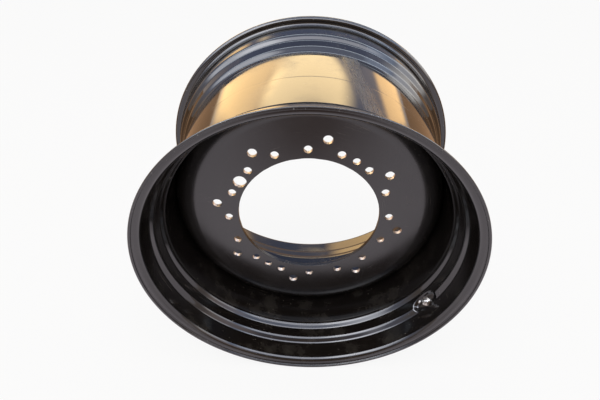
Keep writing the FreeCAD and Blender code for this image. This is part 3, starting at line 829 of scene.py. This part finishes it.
def feed(made, sockets):
    """Fill a node's inputs, each with a number, a colour or another node's output."""
    for key, value in sockets.items():
        if isinstance(value, Value):
            value.tree.links.new(value.socket, made.inputs[key])
        else:
            made.inputs[key].default_value = value


def node(tree, kind, sockets=None, **settings):
    """Add a shader node with its settings and inputs."""
    made = tree.nodes.new("ShaderNode" + kind)
    for key, value in settings.items():
        setattr(made, key, value)
    feed(made, sockets or {})
    return made


def result(tree, kind, sockets=None, output=0, **settings):
    """Add a shader node and take one of its outputs."""
    return Value(node(tree, kind, sockets, **settings).outputs[output])


def named(sockets):
    return {socket.name: Value(socket) for socket in sockets if socket.name}


def blend(share_of_second, first, second):
    return result(share_of_second.tree, "Mix", {0: share_of_second, 6: first, 7: second}, 2, data_type="RGBA")


def noise(vector, scale, detail=2.0, roughness=0.5):
    sockets = {"Vector": vector, "Scale": scale, "Detail": detail, "Roughness": roughness}
    return result(vector.tree, "TexNoise", sockets, "Fac")


def bump(height, distance):
    return result(height.tree, "Bump", {"Strength": 1.0, "Distance": distance, "Height": height}, "Normal")


def object_place(tree):
    return result(tree, "TexCoord", output="Object")


def facing(tree):
    """The three parts of the surface's normal."""
    return result(tree, "NewGeometry", output="Normal").parts()


def start_group(name, inputs, outputs):
    """A shader node group whose sockets take their kind from a default; returns its tree, inputs and output node."""
    tree = bpy.data.node_groups.new(name, "ShaderNodeTree")
    for way, sockets in (("INPUT", inputs), ("OUTPUT", outputs)):
        for key, default in sockets.items():
            kind = "NodeSocketFloat" if isinstance(default, float) else "NodeSocketColor"
            tree.interface.new_socket(name=key, in_out=way, socket_type=kind).default_value = default
    return tree, named(tree.nodes.new("NodeGroupInput").outputs), tree.nodes.new("NodeGroupOutput")


def place_group(tree, group, sockets=None):
    made = tree.nodes.new("ShaderNodeGroup")
    made.node_tree = group
    feed(made, sockets or {})
    return named(made.outputs)


def opaque(rgb):
    return (*rgb, 1.0)


def polar_group():
    """Angle round the axle, distance from it and place along it."""
    tree, _, out = start_group("wheel_polar", {}, {"Angle": 0.0, "Radius": 0.0, "Along": 0.0})
    x, y, z = object_place(tree).parts()
    feed(out, {"Angle": z.math("ARCTAN2", x), "Radius": (x * x + z * z).math("SQRT"), "Along": y})
    return tree


def dust_group():
    """Dust that settles on what faces up, with specks and dried drops."""
    tree, given, out = start_group("settled_dust", {"Amount": 0.3}, {"Film": 0.0, "Specks": 0.0})
    amount = given["Amount"]
    place = object_place(tree)
    upward = facing(tree)[2].ramp(-0.1, 1.0, 0.15, 1.0)
    cloud = noise(place, 9.0, detail=5.0, roughness=0.6).ramp(0.5, 0.66)
    cells = named(node(tree, "TexVoronoi", {"Vector": place, "Scale": 130.0, "Randomness": 1.0}).outputs)
    rare = result(tree, "SeparateColor", {0: cells["Color"]}).ramp(0.9, 0.93)
    dot = cells["Distance"].ramp(0.12, 0.3, 1.0, 0.0)
    patchy = noise(place, 14.0, detail=3.0).ramp(0.45, 0.65)
    specks = rare * dot * (patchy * upward)
    feed(out, {"Film": cloud * upward * amount, "Specks": specks.math("MULTIPLY", amount * 3.0, clamp=True)})
    return tree


def scratch_group(polar):
    """Fine lines, most of them round the wheel and a few across it."""
    tree, given, out = start_group("fine_scratches", {"Amount": 0.3}, {"Lines": 0.0})
    at = place_group(tree, polar)
    place = object_place(tree)

    def streaks(**scales):
        """Noise stretched by its own scale each way."""
        way = {k: at[name] * scales[name.lower()] for k, name in enumerate(("Angle", "Along", "Radius"))}
        return noise(result(tree, "CombineXYZ", way), 1.0, detail=1.0)

    round_wheel = streaks(angle=2.2, along=420.0, radius=420.0).ramp(0.66, 0.74)
    across_it = streaks(angle=300.0, along=9.0, radius=30.0).ramp(0.68, 0.75)
    often = noise(place, 7.0, detail=3.0).ramp(0.5, 0.7)
    seldom = noise(place, 16.0).ramp(0.6, 0.72)
    lines = (round_wheel * often).math("MAXIMUM", across_it * seldom)
    feed(out, {"Lines": lines * given["Amount"]})
    return tree


def paint_group(dust, scratches):
    """Gloss paint with dust, scratches, scuffs and chipped edges."""
    inputs = {
        "Paint": (0.01, 0.01, 0.01, 1.0),
        "Dust": (0.4, 0.35, 0.3, 1.0),
        "Primer": (0.4, 0.4, 0.4, 1.0),
        "Roughness": 0.12,
        "Dust Amount": 0.3,
        "Scratch Amount": 0.3,
        "Scuff": 0.0,
        "Edge": 0.0,
    }
    tree, given, out = start_group("gloss_paint", inputs, {"Color": BLACK, "Roughness": 0.0, "Height": 0.0})
    place = object_place(tree)
    settled = place_group(tree, dust, {"Amount": given["Dust Amount"]})
    film, specks = settled["Film"], settled["Specks"]
    lines = place_group(tree, scratches, {"Amount": given["Scratch Amount"]})["Lines"]
    scuff, edge = given["Scuff"], given["Edge"]
    chips = (noise(place, 160.0, detail=3.0, roughness=0.6) + edge * 0.12).ramp(0.81, 0.84) * edge.ramp(0.05, 0.4)
    tint = given["Paint"]
    dusty = ((lines * 0.35, "Dust"), (film * 0.3, "Dust"), (specks, "Dust"))
    for cover, layer in (*dusty, (scuff * 0.05, "Primer"), (chips, "Primer")):
        tint = blend(cover, tint, given[layer])
    rough = given["Roughness"] + noise(place, 5.0, detail=4.0).ramp(0.3, 0.7, -0.02, 0.04)
    for mask, more in ((film, 0.3), (lines, 0.25), (scuff, 0.45), (chips, 0.4)):
        rough = rough + mask * more
    # Orange peel and slow waves, with lines, chips and scuffs cut in and specks on top
    height = noise(place, 330.0) * 0.5 + noise(place, 22.0) * 1.6
    for mask, depth in ((lines, 0.8), (chips, 6.0), (scuff, 8.0), (specks, -4.0)):
        height = height - mask * depth
    feed(out, {"Color": tint, "Roughness": rough, "Height": height})
    return tree


def empty_tree(owner):
    owner.use_nodes = True
    owner.node_tree.nodes.clear()
    return owner.node_tree


def principled(name, constants):
    """A material with one Principled shader whose plain values are set on its own sockets."""
    material = bpy.data.materials.new(name)
    tree = empty_tree(material)
    shader = node(tree, "BsdfPrincipled", constants)
    feed(node(tree, "OutputMaterial"), {"Surface": Value(shader.outputs[0])})
    return material, tree, shader


def paint_material(name, paint, finish, gloss, masks, bare=None, dust_more=1.0):
    """Black paint; masks and bare are functions that build that piece's own masks in the tree."""
    material, tree, shader = principled(name, {"IOR": REFRACTION})
    sockets = {
        "Paint": opaque(finish.paint),
        "Dust": opaque(finish.dust),
        "Primer": opaque(finish.primer),
        "Roughness": gloss,
        "Dust Amount": finish.dust_share * dust_more,
        "Scratch Amount": finish.wear_share,
    }
    film = place_group(tree, paint, sockets | {key: mask(tree) for key, mask in masks.items()})
    base, rough = film["Color"], film["Roughness"]
    if bare:
        metal = bare(tree)
        base = blend(metal, base, opaque(finish.steel))
        rough = rough + metal * 0.22
        feed(shader, {"Metallic": metal})
    feed(shader, {"Base Color": base, "Roughness": rough, "Normal": bump(film["Height"], PAINT_RELIEF)})
    return material


def make_finishes(rim, disc, finish):
    """All materials of the wheel, by name."""
    polar, dust = polar_group(), dust_group()
    scratches = scratch_group(polar)
    paint = paint_group(dust, scratches)
    lip, bore, flat = flange_radius(rim), disc.bore_dia / 2, disc.flat_dia / 2

    def rim_edge(tree):
        """The lips and their curls."""
        return place_group(tree, polar)["Radius"].ramp(lip - 20 * MM, lip - 4 * MM)

    def rim_scuff(tree):
        """Dressing marks on the outside where the band's ends are welded together."""
        at = place_group(tree, polar)
        straight = at["Angle"] - at["Along"] * SEAM_LEAN
        zone = abs(straight - SEAM_ANGLE).ramp(math.radians(1.2), math.radians(5.0), 1.0, 0.0)
        outside = abs(at["Radius"] - well_radius(rim)).ramp(1 * MM, 4 * MM, 1.0, 0.0)
        across = result(tree, "CombineXYZ", {0: straight * 190.0, 1: at["Along"] * 11.0})
        return zone * outside * noise(across, 1.0, detail=4.0, roughness=0.65).ramp(0.36, 0.62)

    def disc_edge(tree):
        """The rim of the bore."""
        return place_group(tree, polar)["Radius"].ramp(bore, bore + 5 * MM, 0.7, 0.0)

    def drilled_walls(tree):
        """The walls of the bolt holes: faces between the bore and the shoulder that look across the axle."""
        radius = place_group(tree, polar)["Radius"]
        across = abs(facing(tree)[1]).ramp(0.55, 0.25)
        on_flat = radius.ramp(bore + 4 * MM, bore + 8 * MM) * radius.ramp(flat - 4 * MM, flat - 8 * MM)
        scraped = noise(object_place(tree), 120.0, detail=3.0).ramp(0.34, 0.46)
        return across * scraped * on_flat

    made = {
        "rim": paint_material("rim_paint", paint, finish, finish.gloss, {"Scuff": rim_scuff, "Edge": rim_edge}),
        "disc": paint_material("disc_paint", paint, finish, finish.disc_gloss, {"Edge": disc_edge}, drilled_walls),
        "weld": paint_material("weld_paint", paint, finish, finish.gloss, {}, dust_more=1.6),
    }

    made["plating"], tree, shader = principled("valve_plating", {"IOR": REFRACTION, "Metallic": 1.0})
    film = place_group(tree, dust, {"Amount": 0.5})["Film"]
    lines = place_group(tree, scratches, {"Amount": 0.5})["Lines"]
    looks = {
        "Base Color": blend(film, opaque(finish.plating), opaque(finish.dust)),
        "Roughness": lines * 0.2 + (film * 0.4 + 0.1),
        "Normal": bump(noise(object_place(tree), 900.0), 0.02 * MM),
    }
    feed(shader, looks)

    made["rubber"], tree, shader = principled("valve_rubber", {"IOR": REFRACTION})
    film = place_group(tree, dust, {"Amount": 0.8})["Film"]
    looks = {
        "Base Color": blend(film, opaque(finish.rubber), opaque(finish.dust)),
        "Roughness": film * 0.2 + 0.6,
        "Normal": bump(noise(object_place(tree), 1200.0, detail=3.0), 0.04 * MM),
    }
    feed(shader, looks)
    return made


FINISHES = {}


def finish_named(name):
    """The material of that name; all are built the first time one is asked for."""
    if not FINISHES:
        scene = bpy.context.scene
        FINISHES.update(make_finishes(scene.wheel_rim, scene.wheel_disc, scene.wheel_finish))
    return FINISHES[name]


# Stage

FLOOR_HALF, FLOOR_GAP = 14.0, 0.5 * MM  # half of the floor's side, and how far it lies below the wheel
# Painted shade: a darker patch in the floor's glow that gloss sees in front of the camera
PATCH_PLACE, PATCH_HALF_WIDTH, PATCH_HALF_LENGTH = -2.0, 0.5, 1.05  # the mirrored shade in front of the camera
BOX_DISTANCE, BOX_FEATHER = 6.0, 0.22  # from the origin, and the share of a box over which it fades
CAMERA_PLACE = (0.0212, -1.3175, 1.1205)
CAMERA_RIGHT = np.array((0.9995412, 0.0246603, -0.0175859))
CAMERA_UP = np.array((-0.0016853, 0.6249944, 0.7806274))
SENSOR_WIDTH = 36.0

# Soft boxes on a dome round the wheel: azimuth (behind is 90) and elevation in degrees, width and height in
# degrees, tint, and how bright each looks. Only the key box lights matt surfaces, and only the others are mirrored.
SOFT_BOXES = (
    ("key_box", 265, 72, 60, 38, (1.0, 0.99, 0.98), 2.4),
    ("sky_box", 268, 66, 104, 42, (0.98, 0.97, 1.0), 4.7),
    ("left_box", 203, 47, 66, 58, (0.97, 0.98, 1.0), 5.6),
    ("right_box", 5, 22, 76, 30, (1.0, 0.96, 0.9), 3.2),
    ("right_spot", 36, 17, 30, 27, (0.96, 1.0, 0.98), 1.9),
    ("right_sky", 5, 45, 60, 24, (0.6, 0.75, 1.0), 1.8),
    ("warm_box", 92, 28.2, 46, 10.4, (1.0, 0.72, 0.32), 6.6),
    ("warm_left", 112, 13, 30, 28, (1.0, 0.62, 0.2), 4.5),
    ("amber_right", 61, 7.5, 14, 13, (1.0, 0.57, 0.16), 3.3),
    ("warm_front", 320, 17, 46, 30, (1.0, 0.64, 0.38), 0.8),
    ("cool_strip", 90, 60, 120, 14, (0.84, 0.93, 1.0), 6.5),
)


def facing_matrix(right, up, place):
    """Where something stands that looks along its own minus Z."""
    turned = Matrix(np.stack([right, up, np.cross(right, up)]).T.tolist()).to_4x4()
    return Matrix.Translation(place) @ turned


def by_ray(tree, kind, lit, mirrored, whiteness, output):
    """One shader for matt surfaces, one for gloss, and white for the camera."""
    path = named(node(tree, "LightPath").outputs)
    white = result(tree, kind, {"Color": WHITE, "Strength": 1.0})
    unseen = result(tree, "MixShader", {0: path["Is Glossy Ray"], 1: lit, 2: mirrored})
    seen = result(tree, "MixShader", {0: path["Is Camera Ray"] * whiteness, 1: unseen, 2: white})
    feed(node(tree, output), {"Surface": seen})


def make_floor(stage):
    """A pale floor; for gloss it glows with a painted reflection of itself, with painted contact shade under the
    wheel, darker behind it, and painted shade in a patch in front of the camera.
    """
    mesh = bpy.data.meshes.new("floor")
    corners = [(x * FLOOR_HALF, y * FLOOR_HALF, 0) for x, y in ((-1, -1), (1, -1), (1, 1), (-1, 1))]
    mesh.from_pydata(corners, [], [(0, 1, 2, 3)])
    floor = link_new("floor", mesh)
    floor.location.z = CAD_BOX[0].z - FLOOR_GAP
    material = bpy.data.materials.new("pale_floor")
    tree = empty_tree(material)
    x, y, _ = object_place(tree).parts()
    across, ahead = x / PATCH_HALF_WIDTH, (y - PATCH_PLACE) / PATCH_HALF_LENGTH
    from_patch = (across * across + ahead * ahead).math("SQRT")
    # Painted contact shade: the floor's glow for gloss is darkened towards the foot of the wheel, and it is darker
    # behind the wheel
    painted_contact_shade, behind = y.ramp(-0.34, -0.26, 0.0, 0.48), y.ramp(-0.1, 0.4)
    # Painted shade: the patch in front of the camera glows darker for gloss
    tint = blend(from_patch.ramp(0.2, 1.35), opaque(stage.floor_painted_shade), opaque(stage.floor_near))
    tint = blend(behind, blend(painted_contact_shade, tint, BLACK), opaque(stage.floor_back))
    plain = result(tree, "BsdfDiffuse", {"Color": opaque(stage.floor)})
    mirrored = result(tree, "Emission", {"Color": tint, "Strength": stage.floor_mirror})
    by_ray(tree, "Emission", plain, mirrored, stage.floor_white, "OutputMaterial")
    mesh.materials.append(material)


def make_world(stage):
    """Even light all round; gloss mirrors a dome that is cool above and grey-brown at the horizon."""
    world = bpy.data.worlds.new("studio")
    bpy.context.scene.world = world
    tree = empty_tree(world)
    _, y, z = result(tree, "TexCoord", output="Generated").parts()
    behind, in_front, overhead = y.ramp(0.15, 0.6), y.ramp(-0.6, -0.78), z.ramp(0.0, 0.55)
    high = blend(behind, opaque(stage.dome_side), opaque(stage.dome_back))
    tint = blend(overhead, opaque(stage.horizon), high)
    tint = blend(in_front, tint, opaque(stage.dome_front))
    even = result(tree, "Background", {"Color": WHITE, "Strength": stage.overcast})
    dome = result(tree, "Background", {"Color": tint, "Strength": stage.dome_level})
    by_ray(tree, "Background", even, dome, 1.0, "OutputWorld")


def add_softbox(name, azimuth, elevation, width, height, tint, radiance):
    """A rectangular lamp with soft edges that faces the wheel."""
    lamp = bpy.data.lights.new(name, "AREA")
    lamp.shape = "RECTANGLE"
    lamp.size = 2 * BOX_DISTANCE * math.tan(math.radians(width / 2))
    lamp.size_y = 2 * BOX_DISTANCE * math.tan(math.radians(height / 2))
    lamp.energy = radiance * math.pi * lamp.size * lamp.size_y
    tree = empty_tree(lamp)
    across, up, _ = result(tree, "NewGeometry", output="Parametric").parts()
    fade = abs(across - 0.5).ramp(0.5, 0.5 - BOX_FEATHER) * abs(up - 0.5).ramp(0.5, 0.5 - BOX_FEATHER)
    shine = result(tree, "Emission", {"Color": opaque(tint), "Strength": fade})
    feed(node(tree, "OutputLight"), {"Surface": shine})
    box = link_new(name, lamp)
    az, el = math.radians(azimuth), math.radians(elevation)
    back = np.array((math.cos(el) * math.cos(az), math.cos(el) * math.sin(az), math.sin(el)))
    side = np.array((-math.sin(az), math.cos(az), 0.0))
    box.matrix_world = facing_matrix(side, np.cross(back, side), back * BOX_DISTANCE)
    box.visible_diffuse = name == "key_box"
    box.visible_glossy = not box.visible_diffuse


def make_camera(stage):
    """The photograph's view: in front of the wheel, above it and looking down into its dish."""
    data = bpy.data.cameras.new("photo_view")
    data.lens = stage.lens
    data.sensor_width = SENSOR_WIDTH
    camera = link_new("photo_view", data)
    camera.matrix_world = facing_matrix(CAMERA_RIGHT, CAMERA_UP, CAMERA_PLACE)
    bpy.context.scene.camera = camera


# Operators


class WHEEL_OT_rim(Operator):
    """Roll the rim band with its flanges, bead seats, well and valve dimple"""

    bl_idname = "wheel.rim"
    bl_label = "Rim"

    def execute(self, context):
        scene = context.scene
        piece = build_rim(scene.wheel_rim, scene.wheel_valve, scene.wheel_disc)
        dress(piece, finish_named("rim"), "black_paint", "rim")
        return {"FINISHED"}


class WHEEL_OT_disc(Operator):
    """Press the disc with its bore and bolt holes"""

    bl_idname = "wheel.disc"
    bl_label = "Disc"

    def execute(self, context):
        scene = context.scene
        piece = build_disc(scene.wheel_rim, scene.wheel_disc)
        dress(piece, finish_named("disc"), "black_paint", "wheel_disc")
        return {"FINISHED"}


class WHEEL_OT_weld(Operator):
    """Lay the rippled weld bead between the disc and the rim"""

    bl_idname = "wheel.weld"
    bl_label = "Weld"

    def execute(self, context):
        scene = context.scene
        piece = build_weld(scene.wheel_rim, scene.wheel_disc)
        dress(piece, finish_named("weld"), "black_paint", "disc_weld")
        return {"FINISHED"}


class WHEEL_OT_valve(Operator):
    """Set the tyre valve in its dimple: stem, seal, washer, nut, core and cap"""

    bl_idname = "wheel.valve"
    bl_label = "Valve"

    def execute(self, context):
        scene = context.scene
        rim, valve = scene.wheel_rim, scene.wheel_valve
        place, at = valve_frame(rim, valve), valve_heights(rim, valve)
        plated = {
            "valve_stem": build_stem,
            "valve_washer": build_washer,
            "valve_nut": build_nut,
            "valve_cap": build_cap,
        }
        for name, build in plated.items():
            dress(build(valve, at, place), finish_named("plating"), "valve_metal", name)
        dress(build_seal(valve, at, place), finish_named("rubber"), "valve_rubber", "valve_seal")
        core = frame["nodes"]["valve_core"]
        core.data.materials.clear()
        core.data.materials.append(finish_named("plating"))
        return {"FINISHED"}


class WHEEL_OT_stage(Operator):
    """Set the floor, the light and the camera"""

    bl_idname = "wheel.stage"
    bl_label = "Stage"

    def execute(self, context):
        stage = context.scene.wheel_stage
        context.scene.view_settings.view_transform = "Standard"
        make_floor(stage)
        make_world(stage)
        for box in SOFT_BOXES:
            add_softbox(*box)
        make_camera(stage)
        return {"FINISHED"}


class WHEEL_PT_panel(Panel):
    """Lists the wheel's pieces and their sizes"""

    bl_idname = "WHEEL_PT_panel"
    bl_label = "Tractor wheel"
    bl_space_type = "VIEW_3D"
    bl_region_type = "UI"
    bl_category = "Wheel"

    def draw(self, context):
        for operator in OPERATORS:
            self.layout.operator(operator.bl_idname)
        for key in GROUPS:
            box = self.layout.box()
            settings = getattr(context.scene, key)
            for name in settings.bl_rna.properties.keys():
                if name not in ("rna_type", "name"):
                    box.prop(settings, name)


GROUPS = {
    "wheel_rim": RimSizes,
    "wheel_disc": DiscSizes,
    "wheel_valve": ValveSizes,
    "wheel_finish": WheelFinish,
    "wheel_stage": StageLook,
}
OPERATORS = (WHEEL_OT_rim, WHEEL_OT_disc, WHEEL_OT_weld, WHEEL_OT_valve, WHEEL_OT_stage)


def register():
    for made in (*GROUPS.values(), *OPERATORS, WHEEL_PT_panel):
        bpy.utils.register_class(made)
    for key, group in GROUPS.items():
        setattr(bpy.types.Scene, key, PointerProperty(type=group))


def unregister():
    for key in GROUPS:
        delattr(bpy.types.Scene, key)
    for made in reversed((*GROUPS.values(), *OPERATORS, WHEEL_PT_panel)):
        bpy.utils.unregister_class(made)


def main():
    register()
    bpy.ops.wheel.rim()
    bpy.ops.wheel.disc()
    bpy.ops.wheel.weld()
    bpy.ops.wheel.valve()
    bpy.ops.wheel.stage()


if __name__ == "__main__":
    main()
